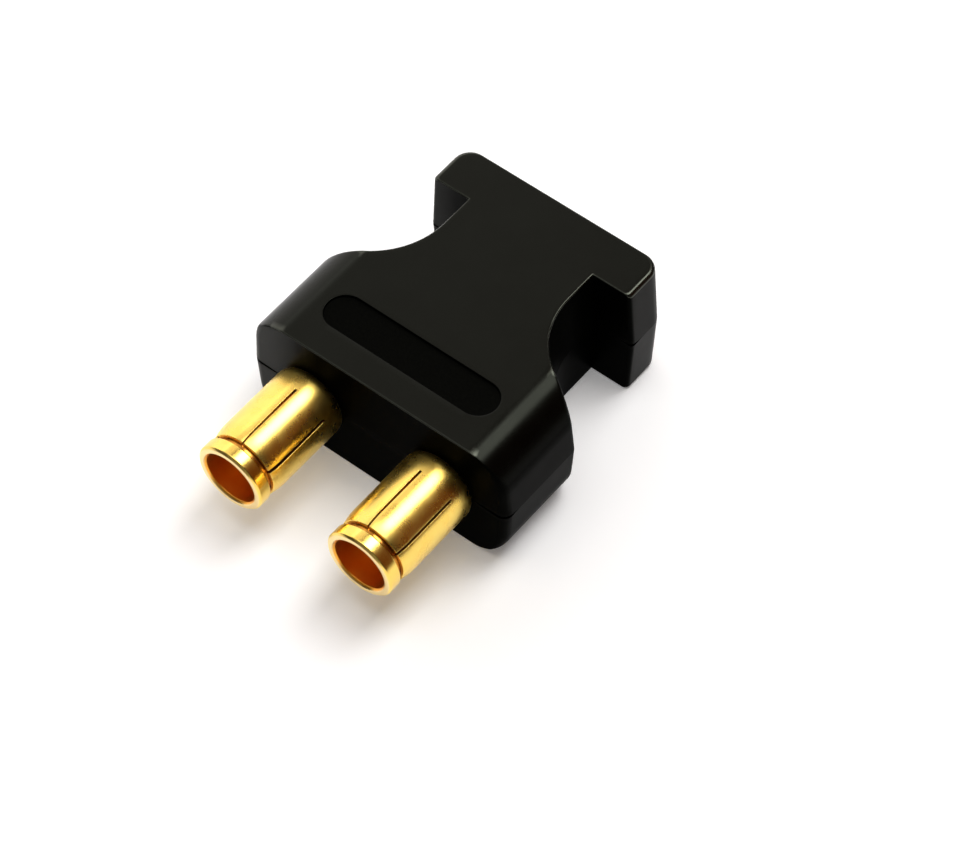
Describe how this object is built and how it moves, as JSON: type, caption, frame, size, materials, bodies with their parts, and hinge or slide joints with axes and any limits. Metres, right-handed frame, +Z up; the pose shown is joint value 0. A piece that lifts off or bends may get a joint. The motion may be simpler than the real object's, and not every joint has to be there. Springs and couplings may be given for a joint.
{
  "type": "triax bridge connector",
  "caption": "Bridging plug with slit gold spring contacts side by side in a black waisted pull handle, to link neighbouring triax sockets of a patch field.",
  "frame": {"origin": "under the middle of the whole length, on the flat underside of the lower shell", "axes": "+Z up through the upper shell, +Y from the contacts to the pull bar, +X from the left contact to the right one"},
  "size_m": [0.0396, 0.0518, 0.0188],
  "materials": {
    "housing_black": "satin moulded black plastic with a fine grain",
    "contact_gold": "polished gold plating on turned brass",
    "insulator_white": "waxy white insulator",
    "link_brass": "plain brass strip"
  },
  "bodies": {
    "root": {"upper_shell": "housing_black", "lower_shell": "housing_black", "contact_tube_left": "contact_gold", "contact_tube_right": "contact_gold", "spring_sleeve_left": "contact_gold", "spring_sleeve_right": "contact_gold", "outer_insulator_left": "insulator_white", "outer_insulator_right": "insulator_white", "inner_screen_left": "contact_gold", "inner_screen_right": "contact_gold", "inner_insulator_left": "insulator_white", "inner_insulator_right": "insulator_white", "centre_pin_left": "contact_gold", "centre_pin_right": "contact_gold", "outer_screen_link": "link_brass", "inner_screen_link": "link_brass", "centre_link": "link_brass"}
  },
  "joints": []
}
